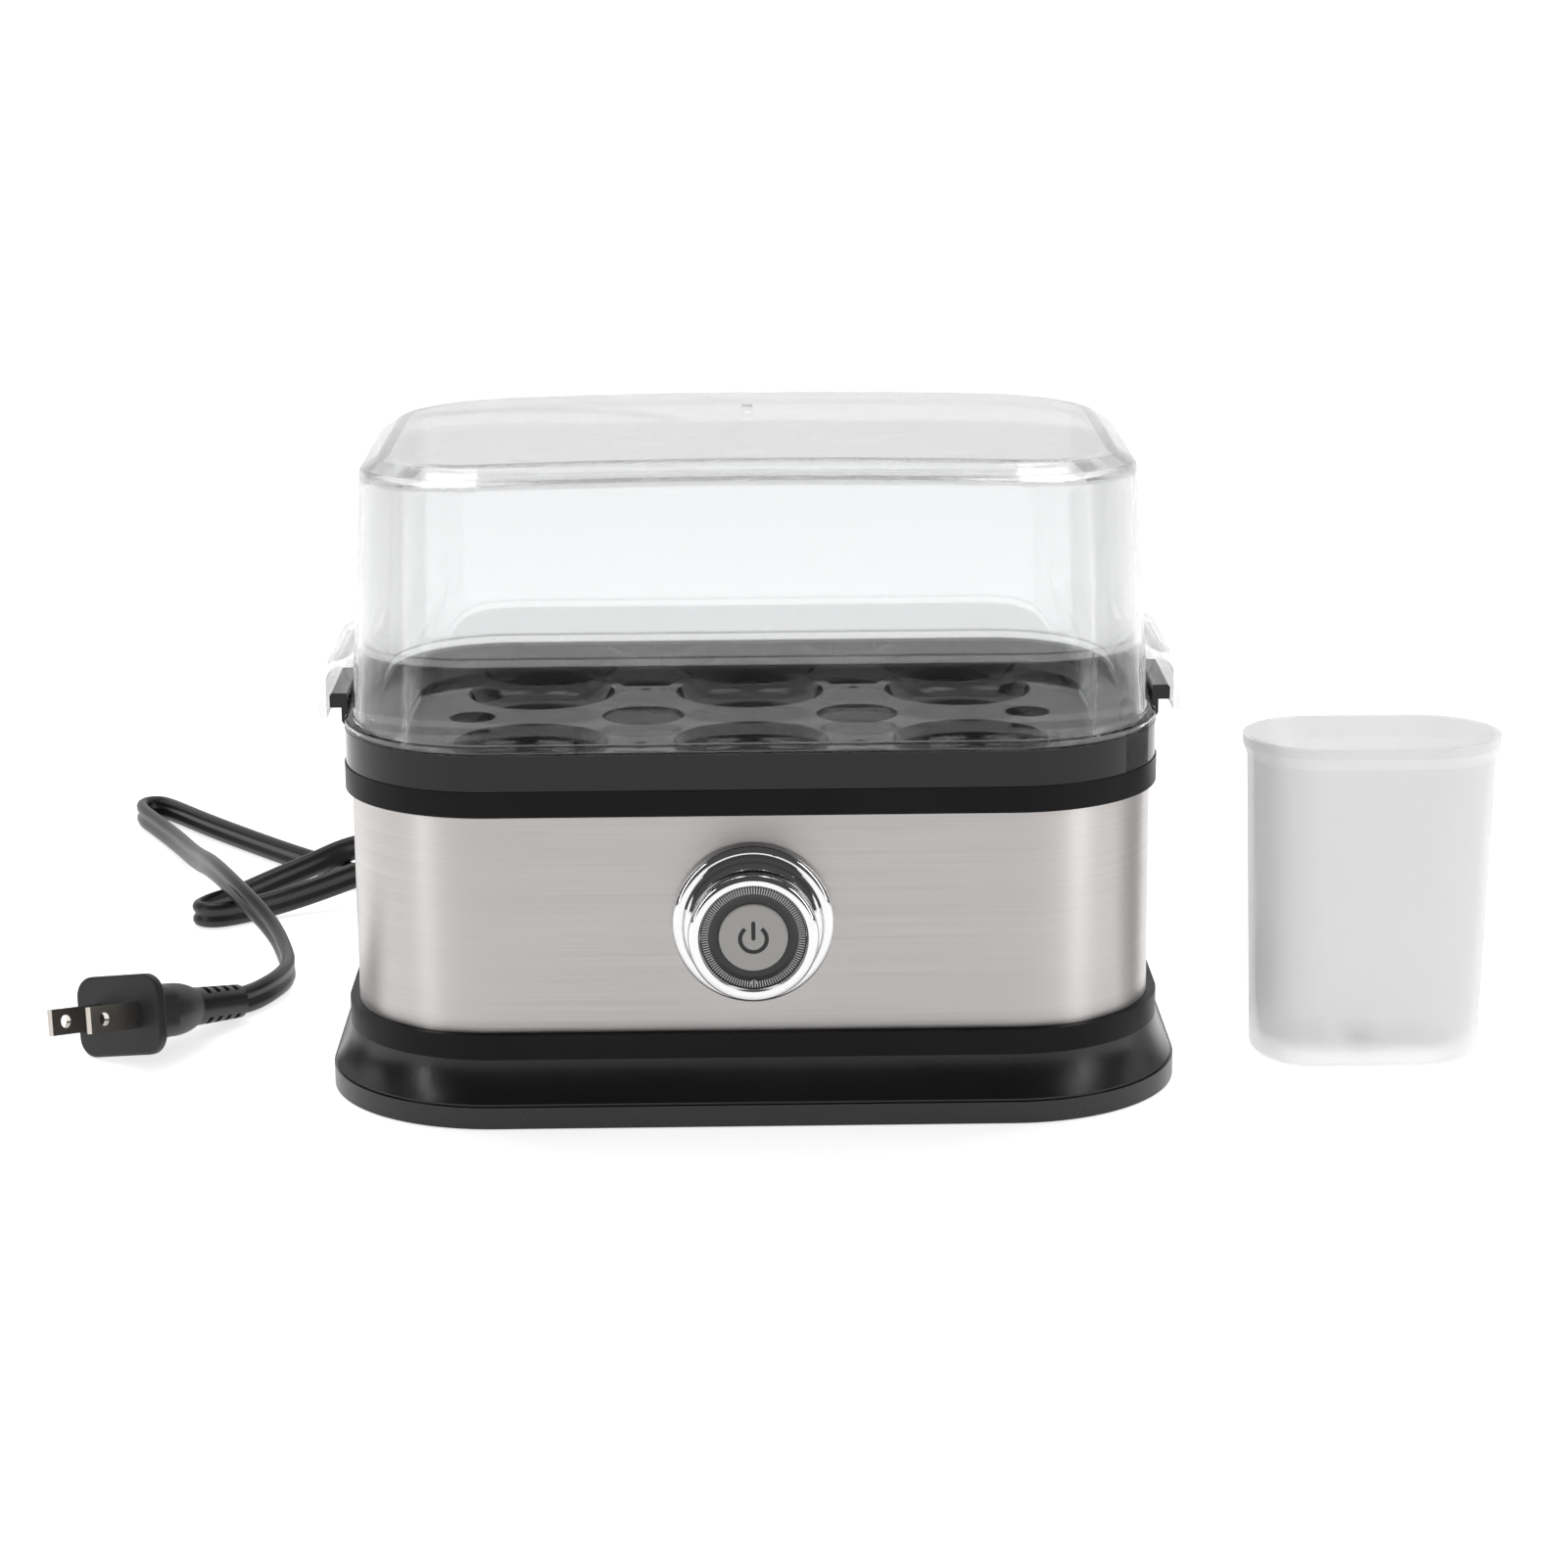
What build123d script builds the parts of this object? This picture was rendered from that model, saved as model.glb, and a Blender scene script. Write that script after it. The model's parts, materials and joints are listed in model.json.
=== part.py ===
from build123d import *

import os
from math import atan, cos, degrees, pi, radians, sin, sqrt, tan

# Electric egg cooker for two rows of three eggs, with its measuring cup.
# Millimetres. X to the right, Y to the back, Z up; origin at the centre of the underside.
# Every wall follows one rounded rectangle. "Reach" is how far a wall stands outside the
# core rectangle that joins the four corner centres, so it is also that wall's corner radius.

os.makedirs("parts", exist_ok=True)

# ---------------------------------------------------------------- driving sizes
egg_columns = 3
egg_pitch_x = 51.5  # between egg centres along a row
egg_pitch_y = 51.2  # between the two rows
end_margin = 48.5  # outer egg centre to the end of the base
side_margin = 41.8  # row centre to the front of the base
base_corner = 40.4  # corner radius of the base

skirt_edge = 5.1  # upright edge of the base
skirt_height = 15.2
skirt_flare = 4.3  # how far the skirt leans in
lower_ring_height = 5.8
band_height = 51.3
band_inset = 2.3  # steel band inside the lower ring
band_wall = 0.6
upper_ring_height = 6.0
upper_ring_lip = 1.6  # upper ring outside the steel band
tray_height = 8.3
tray_step = 0.3  # tray inside the upper ring
lid_height = 65.4
lid_wall = 1.8
lid_draft = 0.057  # how far the lid leans in per millimetre of height
cup_height = 79.3
cup_wall = 1.6

fit_gap = 0.2  # parts that push together
hinge_gap = 0.3  # parts that lift apart
touch_gap = 0.05  # round parts that lie against a flat

# ---------------------------------------------------------------- derived sizes
core_length = (egg_columns - 1) * egg_pitch_x + 2 * (end_margin - base_corner)
core_depth = egg_pitch_y + 2 * (side_margin - base_corner)
skirt_top_reach = base_corner - skirt_flare
band_reach = skirt_top_reach - band_inset
band_inner = band_reach - band_wall
upper_ring_reach = band_reach + upper_ring_lip
tray_reach = upper_ring_reach - tray_step
band_z = skirt_height + lower_ring_height
upper_ring_z = band_z + band_height
tray_z = upper_ring_z + upper_ring_height
lid_z = tray_z + tray_height
band_front_y = -(core_depth / 2 + band_reach)
standing = (Align.CENTER, Align.CENTER, Align.MIN)
hanging = (Align.CENTER, Align.CENTER, Align.MAX)


# ---------------------------------------------------------------- shared helpers
def body_outline(reach):
    """Rounded rectangle of the body at a reach, for use inside a sketch."""
    return RectangleRounded(core_length + 2 * reach, core_depth + 2 * reach, reach)


def rim_path(reach):
    """Closed path once round the body, starting at the middle of the front."""
    x, y = core_length / 2, core_depth / 2
    with BuildLine() as path:
        Line((0, -y - reach), (x, -y - reach))
        CenterArc((x, -y), reach, -90, 90)
        Line((x + reach, -y), (x + reach, y))
        CenterArc((x, y), reach, 0, 90)
        Line((x, y + reach), (-x, y + reach))
        CenterArc((-x, y), reach, 90, 90)
        Line((-x - reach, y), (-x - reach, -y))
        CenterArc((-x, -y), reach, 180, 90)
        Line((-x, -y - reach), (0, -y - reach))
    return path.wire()


def profile(plane, *points):
    """Closed straight-sided outline on a plane."""
    with BuildSketch(plane) as outline:
        with BuildLine():
            Polyline(*points, close=True)
        make_face()
    return outline.sketch.faces()


def corner_spots(radial, height=0):
    """Four places on the diagonals of the corners, radial outside the corner centres."""
    along = radial * cos(radians(45))
    x, y = core_length / 2 + along, core_depth / 2 + along
    return [(x, y, height), (-x, y, height), (-x, -y, height), (x, -y, height)]


corner_names = ["back_right", "back_left", "front_left", "front_right"]


def write(part, name):
    part.label = name
    export_step(part, f"parts/{name}.step")


# Sections of the rims: across is the reach, up is the height.
rim_plane = Plane(origin=(0, -core_depth / 2, 0), x_dir=(0, -1, 0), z_dir=(-1, 0, 0))
rim = rim_path(base_corner / 2)

# ---------------------------------------------------------------- base skirt
skirt_wall = 2.4
floor_z = 3.0  # underside of the floor, inside the standing rim
floor_thickness = 2.2
floor_top = floor_z + floor_thickness
groove = 0.6
post_radial = band_inner - 5.8  # the four screw posts stand on the corner diagonals
boss_radius = 4.5
boss_top = 12.0
screw_radius = 1.45
screw_hole = screw_radius + 0.35
screw_head_radius = 3.2
screw_head_height = 2.6
screw_seat = 8.0  # height of the shoulder that the screw heads bear on
foot_radial = base_corner - 24.9
foot_radius = 6.5
foot_peg = 2.4
cord_x = -10.0  # the mains lead leaves the back here
cord_exit_z = 8.6
bushing_neck = 4.9
clamp_span = 18.0  # between the cord clamp's screws
clamp_y = core_depth / 2 + base_corner - 15.4
lead_radius = 2.7  # round tube with the section area of the flat lead
clamp_boss_top = cord_exit_z + lead_radius + touch_gap

with BuildPart() as base_skirt:
    with BuildSketch(rim_plane):
        with BuildLine():
            Polyline(
                (base_corner - skirt_wall, 0),
                (base_corner, 0),
                (base_corner, skirt_edge),
                (base_corner - groove, skirt_edge),
                (base_corner - groove, skirt_edge + groove),
            )
            ThreePointArc(
                (base_corner - groove, skirt_edge + groove),
                (skirt_top_reach + 0.3 * skirt_flare, 0.65 * skirt_height),
                (skirt_top_reach, skirt_height),
            )
            Polyline(
                (skirt_top_reach, skirt_height),
                (skirt_top_reach - skirt_wall, skirt_height),
                (skirt_top_reach - skirt_wall, skirt_height - 2),
                (base_corner - 1.3 * skirt_wall, floor_top),
                (base_corner / 2, floor_top),
                (base_corner / 2, floor_z),
                (base_corner - skirt_wall, floor_z),
                (base_corner - skirt_wall, 0),
            )
        make_face()
    sweep(path=rim)
    with BuildSketch(Plane.XY.offset(floor_z)):
        body_outline(base_corner / 2 + 1)
    extrude(amount=floor_thickness)
    with Locations(*corner_spots(post_radial, floor_z)):
        Cylinder(boss_radius, boss_top - floor_z, align=standing)
        Cylinder(screw_hole, boss_top, align=standing, mode=Mode.SUBTRACT)
        Cylinder(screw_head_radius + 0.4, screw_seat - floor_z, align=standing, mode=Mode.SUBTRACT)
    with Locations(*corner_spots(foot_radial, floor_z)):
        Cylinder(foot_peg + touch_gap, floor_thickness, align=standing, mode=Mode.SUBTRACT)
    with Locations((cord_x, clamp_y, floor_top)):
        with GridLocations(clamp_span, 1, 2, 1):
            Cylinder(3.2, clamp_boss_top - floor_top, align=standing)
            Cylinder(1.2, clamp_boss_top, align=standing, mode=Mode.SUBTRACT)
    with Locations(Plane(origin=(cord_x, core_depth / 2 + base_corner - 10.4, cord_exit_z), z_dir=(0, 1, 0))):
        Cylinder(bushing_neck + fit_gap, 14, align=standing, mode=Mode.SUBTRACT)
    with BuildSketch(Plane.XY.offset(floor_z)):
        with GridLocations(9, 1, 7, 1):
            SlotOverall(26, 3, rotation=90)
    extrude(amount=floor_thickness, mode=Mode.SUBTRACT)
write(base_skirt.part, "base_skirt")

for corner, (foot_x, foot_y, foot_bottom) in zip(corner_names, corner_spots(foot_radial)):
    with BuildPart() as rubber_foot:
        with Locations((foot_x, foot_y, foot_bottom)):
            Cylinder(foot_radius, floor_z, align=standing)
        chamfer(rubber_foot.edges().group_by(Axis.Z)[0], 0.6)
        with Locations((foot_x, foot_y, floor_z)):
            Cylinder(foot_peg, floor_thickness, align=standing)
    write(rubber_foot.part, f"foot_{corner}")

with BuildPart() as rating_plate:
    with BuildSketch(Plane.XY.offset(floor_z)):
        with Locations((0, -core_depth / 2 - 2)):
            RectangleRounded(54, 24, 3)
    extrude(amount=-0.4)
write(rating_plate.part, "rating_plate")

# ---------------------------------------------------------------- lower trim ring
ring_wall = 2.0
spigot_reach = band_inner - fit_gap
with BuildPart() as lower_trim_ring:
    sweep(
        profile(
            rim_plane,
            (skirt_top_reach, skirt_height),
            (skirt_top_reach, band_z),
            (spigot_reach, band_z),
            (spigot_reach, band_z + 4),
            (spigot_reach - ring_wall, band_z + 4),
            (spigot_reach - ring_wall, boss_top + 0.5),
            (skirt_top_reach - skirt_wall - fit_gap, boss_top + 0.5),
            (skirt_top_reach - skirt_wall - fit_gap, skirt_height),
        ),
        path=rim,
    )
write(lower_trim_ring.part, "lower_trim_ring")

# ---------------------------------------------------------------- steel band
control_z = band_z + band_height / 2 + 0.25  # height of the control's axis
button_radius = 7.85
seat_bore = button_radius + 0.14
dial_inner = seat_bore + 1.26
bezel_bore = dial_inner + 1.15
dial_outer = dial_inner + 2.7
bezel_spigot = bezel_bore + 2.8
neck_radius = bezel_spigot
hood_radius = dial_outer + 2.85
flange_radius = neck_radius + 5.4

with BuildPart() as steel_band:
    sweep(
        profile(
            rim_plane,
            (band_reach, band_z),
            (band_reach, upper_ring_z),
            (band_inner, upper_ring_z),
            (band_inner, band_z),
        ),
        path=rim,
    )
    with Locations(Plane(origin=(0, band_front_y, control_z), z_dir=(0, 1, 0))):
        Cylinder(bezel_spigot + fit_gap, 4 * band_wall, mode=Mode.SUBTRACT)
write(steel_band.part, "steel_band")

# ---------------------------------------------------------------- upper trim ring
upstand_reach = tray_reach - 2.0 - hinge_gap  # inside the tray's outer wall
upstand_height = 1.7
ledge_z = tray_z - 3.1  # the pan's seal lies on this ledge
ledge_inner = band_inner - 7.2
post_radius = 3.2
upper_spigot = band_height / 12  # shorter on a lower band, clear of the control's bracket

with BuildPart() as upper_trim_ring:
    sweep(
        profile(
            rim_plane,
            (upper_ring_reach, upper_ring_z),
            (upper_ring_reach, tray_z),
            (upstand_reach, tray_z),
            (upstand_reach, tray_z + upstand_height),
            (upstand_reach - 1.3, tray_z + upstand_height),
            (upstand_reach - 1.3, ledge_z),
            (ledge_inner, ledge_z),
            (ledge_inner, ledge_z - 2),
            (spigot_reach - ring_wall, ledge_z - 2),
            (spigot_reach - ring_wall, upper_ring_z - upper_spigot),
            (spigot_reach, upper_ring_z - upper_spigot),
            (spigot_reach, upper_ring_z),
        ),
        path=rim,
    )
    with Locations(*corner_spots(post_radial, boss_top)):
        Cylinder(post_radius, ledge_z - 1 - boss_top, align=standing)
        Cylinder(screw_radius, 20, align=standing, mode=Mode.SUBTRACT)
write(upper_trim_ring.part, "upper_trim_ring")

with BuildPart() as base_screws:
    with Locations(*corner_spots(post_radial, screw_seat)):
        Cylinder(screw_head_radius, screw_head_height, align=hanging)
        Cylinder(screw_radius, boss_top - screw_seat + 18, align=standing)
    with Locations(*corner_spots(post_radial, screw_seat - screw_head_height)):
        Box(4.2, 0.8, 1.2, align=standing, mode=Mode.SUBTRACT)
        Box(0.8, 4.2, 1.2, align=standing, mode=Mode.SUBTRACT)
write(base_screws.part, "base_screws")

# ---------------------------------------------------------------- heating pan and heater
seal_thickness = 0.8
pan_wall = 1.2
pan_depth = 10.0
pan_reach = band_inner - 9.8
pan_draft = 10.0
pan_flange_z = ledge_z + seal_thickness
pan_flange_reach = upstand_reach - 1.3 - fit_gap
pan_underside = pan_flange_z - pan_depth
pan_floor = pan_underside + pan_wall
stud_spacing_x, stud_spacing_y = 76.0, 16.0
stud_radius = 2.0

with BuildPart() as pan_seal:
    with BuildSketch(Plane.XY.offset(ledge_z)):
        body_outline(pan_flange_reach)
    extrude(amount=seal_thickness)
    with BuildSketch(Plane.XY.offset(ledge_z)):
        body_outline(pan_reach + 2.8)
    extrude(amount=seal_thickness, mode=Mode.SUBTRACT)
write(pan_seal.part, "pan_seal")

with BuildPart() as heating_pan:
    with BuildSketch(Plane.XY.offset(pan_flange_z)):
        body_outline(pan_reach)
    extrude(amount=-pan_depth, taper=pan_draft)
    fillet(heating_pan.faces().sort_by(Axis.Z)[0].edges(), 3)
    with BuildSketch(Plane.XY.offset(pan_flange_z)):
        body_outline(pan_flange_reach)
    extrude(amount=pan_wall)
    with BuildSketch(Plane.XY.offset(pan_flange_z + pan_wall)):
        body_outline(pan_reach - pan_wall)
    extrude(amount=-pan_depth, taper=pan_draft, mode=Mode.SUBTRACT)
    fillet(heating_pan.faces().group_by(Axis.Z)[2][0].edges(), 1.8)
    with Locations((0, 0, pan_underside)):
        with GridLocations(stud_spacing_x, stud_spacing_y, 2, 2):
            Cylinder(stud_radius, 21, align=hanging)
write(heating_pan.part, "heating_pan")

heater_radius = 3.25
heater_z = pan_underside - heater_radius
heater_half_x, heater_half_y = 52.0, 22.0
heater_gap = 20.0  # half the open stretch at the back, where the pins are
pin_radius = 1.5
pin_end = 12.0

with BuildPart() as heating_element:
    with BuildLine() as loop:
        FilletPolyline(
            (heater_gap, heater_half_y),
            (heater_half_x, heater_half_y),
            (heater_half_x, -heater_half_y),
            (-heater_half_x, -heater_half_y),
            (-heater_half_x, heater_half_y),
            (-heater_gap, heater_half_y),
            radius=14,
        )
    with BuildSketch(Plane(origin=(heater_gap, heater_half_y, 0), z_dir=(1, 0, 0))):
        Circle(heater_radius)
    sweep(path=loop.wire())
    for side in (-1, 1):
        with Locations(Plane(origin=(side * pin_end, heater_half_y, 0), z_dir=(side, 0, 0))):
            Cylinder(pin_radius, heater_gap - pin_end + 1, align=standing)
write(heating_element.part.moved(Location((0, 0, heater_z))), "heating_element")

clamp_plate_top = heater_z - heater_radius - touch_gap
clamp_plate_thickness = 1.5
thermostat_radius = 8.0
nut_height = 3.2
nut_size = 7.0
shield_z = clamp_plate_top - clamp_plate_thickness - nut_height - 4.5
shield_wall = 0.8
shield_length, shield_width = 128.0, 60.0

with BuildPart() as element_clamp:
    with BuildSketch(Plane.XY.offset(clamp_plate_top)):
        RectangleRounded(2 * heater_half_x + 10, 2 * heater_half_y + 10, 12)
        Circle(thermostat_radius + 2, mode=Mode.SUBTRACT)
        with GridLocations(stud_spacing_x, stud_spacing_y, 2, 2):
            Circle(stud_radius + fit_gap, mode=Mode.SUBTRACT)
    extrude(amount=-clamp_plate_thickness)
write(element_clamp.part, "element_clamp")

with BuildPart() as heat_shield:
    with BuildSketch(Plane.XY.offset(shield_z)):
        RectangleRounded(shield_length, shield_width, 12)
    extrude(amount=5)
    with BuildSketch(Plane.XY.offset(shield_z + shield_wall)):
        RectangleRounded(shield_length - 2 * shield_wall, shield_width - 2 * shield_wall, 12 - shield_wall)
    extrude(amount=5, mode=Mode.SUBTRACT)
    with BuildSketch(Plane.XY.offset(shield_z)):
        with GridLocations(stud_spacing_x, stud_spacing_y, 2, 2):
            Circle(stud_radius + fit_gap)
    extrude(amount=shield_wall, mode=Mode.SUBTRACT)
write(heat_shield.part, "heat_shield")

with BuildPart() as pan_nuts:
    for nut_top in (clamp_plate_top - clamp_plate_thickness, shield_z):
        with BuildSketch(Plane.XY.offset(nut_top)):
            with GridLocations(stud_spacing_x, stud_spacing_y, 2, 2):
                RegularPolygon(nut_size / 2, 6, major_radius=False)
                Circle(stud_radius + touch_gap, mode=Mode.SUBTRACT)
        extrude(amount=-nut_height)
write(pan_nuts.part, "pan_nuts")

with BuildPart() as thermostat:
    with Locations((0, 0, pan_underside)):
        Cylinder(thermostat_radius, 5, align=hanging)
    with Locations((0, 0, pan_underside - 5)):
        Cylinder(thermostat_radius - 1.5, 3, align=hanging)
    with Locations((-5, 0, pan_underside - 8), (5, 0, pan_underside - 8)):
        Box(0.8, 4.8, 4, align=hanging)
write(thermostat.part, "thermostat")

with BuildPart() as thermal_fuse:
    with Locations(Plane(origin=(0, 13.5, pan_underside - 2 - touch_gap), z_dir=(1, 0, 0))):
        Cylinder(2.0, 11)
        Cylinder(0.6, 22)
write(thermal_fuse.part, "thermal_fuse")

# ---------------------------------------------------------------- control: bezel, dial, button
# Sections of the control: across is the radius, up is the distance out from the steel.
control_plane = Plane(origin=(0, band_front_y, control_z), x_dir=(1, 0, 0), z_dir=(0, 0, -1))
control_axis = Axis((0, band_front_y, control_z), (0, -1, 0))
neck_end = 9.2
hood_front = 13.8
dial_back = 10.6
dial_front = 12.4
bezel_tail = 8.0
button_front = 12.8
button_travel = 2.0
cap_thickness = 2.6
stem_radius = 3.0
guide_thickness = 3.0
guide_front = -4.0
plunger_start = -9.0
symbol_depth = 0.4
symbol_line = 0.95

with BuildPart() as knob_bezel:
    with BuildSketch(control_plane):
        with BuildLine():
            Polyline((bezel_bore, -bezel_tail), (bezel_spigot, -bezel_tail), (bezel_spigot, 0), (flange_radius, 0))
            Line((flange_radius, 0), (flange_radius, 1.2))
            ThreePointArc((flange_radius, 1.2), (flange_radius - 0.5, 2.5), (flange_radius - 1.8, 3.0))
            Polyline(
                (flange_radius - 1.8, 3.0),
                (flange_radius - 2.4, 3.0),
                (flange_radius - 2.4, 3.9),
                (flange_radius - 3.0, 4.6),
                (flange_radius - 3.6, 4.6),
            )
            ThreePointArc((flange_radius - 3.6, 4.6), (neck_radius + 0.5, 6.2), (neck_radius, neck_end))
            Polyline((neck_radius, neck_end), (bezel_bore, neck_end), (bezel_bore, -bezel_tail))
        make_face()
    revolve(axis=control_axis)
write(knob_bezel.part, "knob_bezel")

with BuildPart() as knob_ring:
    with BuildSketch(control_plane):
        with BuildLine():
            Polyline(
                (bezel_bore, neck_end),
                (neck_radius + 0.3, neck_end),
                (hood_radius - 0.2, neck_end + 1.6),
                (hood_radius, neck_end + 2.2),
                (hood_radius, hood_front - 1.3),
            )
            ThreePointArc(
                (hood_radius, hood_front - 1.3),
                (hood_radius - 0.4, hood_front - 0.4),
                (hood_radius - 1.3, hood_front),
            )
            Polyline(
                (hood_radius - 1.3, hood_front),
                (dial_outer + 0.5, hood_front),
                (dial_outer + 0.05, hood_front - 0.6),
                (dial_outer + 0.05, dial_back),
                (bezel_bore, dial_back),
                (bezel_bore, neck_end),
            )
        make_face()
    revolve(axis=control_axis)
write(knob_ring.part, "knob_ring")

with BuildPart() as dial_ring:
    revolve(
        profile(
            control_plane,
            (dial_inner, dial_back),
            (dial_outer, dial_back),
            (dial_outer, dial_front + 0.3),
            (dial_inner, dial_front - 0.2),
        ),
        axis=control_axis,
    )
write(dial_ring.part, "dial_ring")

with BuildPart() as dial_seat:
    revolve(
        profile(
            control_plane,
            (seat_bore, dial_back - 2),
            (bezel_bore - 0.1, dial_back - 2),
            (bezel_bore - 0.1, dial_back),
            (dial_inner, dial_back),
            (dial_inner, dial_front - 0.2),
            (seat_bore, dial_front - 0.2),
        ),
        axis=control_axis,
    )
write(dial_seat.part, "dial_seat")

with BuildPart() as button_guide:
    revolve(
        profile(
            control_plane,
            (stem_radius + 0.15, guide_front - guide_thickness),
            (bezel_bore - 0.1, guide_front - guide_thickness),
            (bezel_bore - 0.1, guide_front),
            (stem_radius + 0.15, guide_front),
        ),
        axis=control_axis,
    )
write(button_guide.part, "button_guide")


def on_control(radius, out, turn=-90):
    """Plane across the control's axis, at a radius and an angle seen from the front."""
    x = radius * cos(radians(turn))
    z = control_z + radius * sin(radians(turn))
    return Plane(origin=(x, band_front_y - out, z), x_dir=(1, 0, 0), z_dir=(0, -1, 0))


lamp_radial = bezel_bore - 1.2
lamp_radius = 1.0
with BuildPart() as light_pipe:
    with BuildSketch(on_control(lamp_radial, guide_front)):
        Circle(lamp_radius)
    extrude(amount=dial_back - 2 - guide_front)
write(light_pipe.part, "light_pipe")

with BuildPart() as indicator_lamp:
    with BuildSketch(on_control(lamp_radial, guide_front - guide_thickness)):
        Circle(lamp_radius)
    extrude(amount=-2.6)
write(indicator_lamp.part, "indicator_lamp")

with BuildPart() as button_cap:
    with BuildSketch(on_control(0, button_front - cap_thickness)):
        Circle(button_radius)
    extrude(amount=cap_thickness)
    fillet(button_cap.edges().sort_by(Axis.Y)[0], 0.5)
    with BuildSketch(on_control(0, button_front - cap_thickness)):
        Circle(stem_radius)
    extrude(amount=-(button_front - cap_thickness - plunger_start))
    with BuildSketch(on_control(0, button_front)) as power_sign:
        with BuildLine():
            open_arc = CenterArc((0, -0.3), 3.0, 128, 284)
        trace(line_width=symbol_line)
        with Locations((0, 1.6)):
            SlotOverall(4.5, symbol_line, rotation=90)
    extrude(amount=-symbol_depth, mode=Mode.SUBTRACT)
write(button_cap.part, "button_cap")

with BuildPart() as power_symbol:
    extrude(power_sign.sketch, amount=-symbol_depth)
write(power_symbol.part, "power_symbol")

switch_size = 16.0
switch_front = plunger_start - button_travel - 0.4
switch_depth = 11.0
plunger_radius = 2.0
with BuildPart() as switch_plunger:
    with BuildSketch(on_control(0, plunger_start)):
        Circle(plunger_radius)
    extrude(amount=-6)
write(switch_plunger.part, "switch_plunger")

bracket_sheet = 1.5
bracket_arm = 21.0  # inner face of each side arm, from the axis
bracket_height = 24.0
bracket_front = -band_wall
bracket_back = switch_front - switch_depth
ear_height = 3.0
with BuildPart() as switch_body:
    with BuildSketch(on_control(0, switch_front)):
        Rectangle(switch_size, switch_size)
    extrude(amount=-switch_depth)
    with BuildSketch(on_control(0, bracket_back)):
        Rectangle(2 * bracket_arm - 2, 8)
    extrude(amount=ear_height)
    with BuildSketch(on_control(0, switch_front)):
        Circle(plunger_radius + 0.2)
    extrude(amount=-(6 + button_travel), mode=Mode.SUBTRACT)
    with BuildSketch(on_control(0, bracket_back)):
        with Locations((-14, 0), (14, 0)):
            Circle(1.1)
    extrude(amount=ear_height, mode=Mode.SUBTRACT)
    for terminal_x in (-4, 4):
        with BuildSketch(on_control(0, bracket_back)):
            with Locations((terminal_x, 0)):
                Rectangle(0.8, 4.8)
        extrude(amount=-6)
write(switch_body.part, "switch_body")

with BuildPart() as switch_bracket:
    with BuildSketch(on_control(0, bracket_front)):
        Rectangle(2 * (bracket_arm + bracket_sheet), bracket_height + 10)
        Circle(bezel_spigot + fit_gap, mode=Mode.SUBTRACT)
    extrude(amount=-bracket_sheet)
    for side in (-1, 1):
        with BuildSketch(on_control(0, bracket_front)):
            with Locations((side * (bracket_arm + bracket_sheet / 2), 0)):
                Rectangle(bracket_sheet, bracket_height)
        extrude(amount=bracket_back - bracket_sheet - bracket_front)
    with BuildSketch(on_control(0, bracket_back)):
        Rectangle(2 * bracket_arm + 1, bracket_height)
        Rectangle(12, 10, mode=Mode.SUBTRACT)
        with Locations((-14, 0), (14, 0)):
            Circle(1.4, mode=Mode.SUBTRACT)
    extrude(amount=-bracket_sheet)
write(switch_bracket.part, "switch_bracket")

with BuildPart() as bracket_screws:
    with BuildSketch(on_control(0, bracket_back - bracket_sheet)):
        with Locations((-14, 0), (14, 0)):
            Circle(2.4)
    extrude(amount=-1.6)
    with BuildSketch(on_control(0, bracket_back - bracket_sheet)):
        with Locations((-14, 0), (14, 0)):
            Circle(1.05)
    extrude(amount=bracket_sheet + ear_height)
write(bracket_screws.part, "bracket_screws")

nut_front = bracket_front - bracket_sheet
with BuildPart() as bezel_nut:
    with BuildSketch(on_control(0, nut_front)):
        RegularPolygon(17.0, 6, major_radius=False)
        Circle(bezel_spigot + touch_gap, mode=Mode.SUBTRACT)
    extrude(amount=-3)
write(bezel_nut.part, "bezel_nut")

spring_wire = 0.6
spring_radius = 4.6
spring_back = guide_front
spring_length = button_front - cap_thickness - spring_back
spring_turns = 6
with BuildPart() as return_spring:
    with BuildLine() as coil:
        Helix(
            pitch=(spring_length - spring_wire - 2 * touch_gap) / spring_turns,
            height=spring_length - spring_wire - 2 * touch_gap,
            radius=spring_radius,
            center=(0, band_front_y - spring_back - touch_gap - spring_wire / 2, control_z),
            direction=(0, -1, 0),
        )
    with BuildSketch(Plane(origin=coil.wire() @ 0, z_dir=coil.wire() % 0)):
        Circle(spring_wire / 2)
    sweep(path=coil.wire(), is_frenet=True)
write(return_spring.part, "return_spring")

# ---------------------------------------------------------------- mains connection inside
block_y = core_depth / 2 + base_corner - 28.4
block_length, block_width, block_height = 24.0, 14.0, 12.0
bushing_inside = core_depth / 2 + base_corner - 6.9
bushing_collar_y = core_depth / 2 + base_corner
bushing_end_y = bushing_collar_y + 16.0

with BuildPart() as terminal_block:
    with BuildSketch(Plane.XY.offset(floor_top)):
        with Locations((cord_x, block_y)):
            Rectangle(block_length, block_width)
    extrude(amount=block_height)
    with BuildSketch(Plane.XY.offset(floor_top + block_height)):
        with Locations((cord_x, block_y)):
            with GridLocations(block_length / 2, 8, 2, 2):
                Circle(1.8)
    extrude(amount=-2.5, mode=Mode.SUBTRACT)
write(terminal_block.part, "terminal_block")

with BuildPart() as inner_lead:
    with BuildSketch(Plane(origin=(cord_x, bushing_inside, cord_exit_z), z_dir=(0, -1, 0))):
        Circle(lead_radius)
    extrude(amount=bushing_inside - block_y - block_width / 2)
write(inner_lead.part, "inner_lead")

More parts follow.
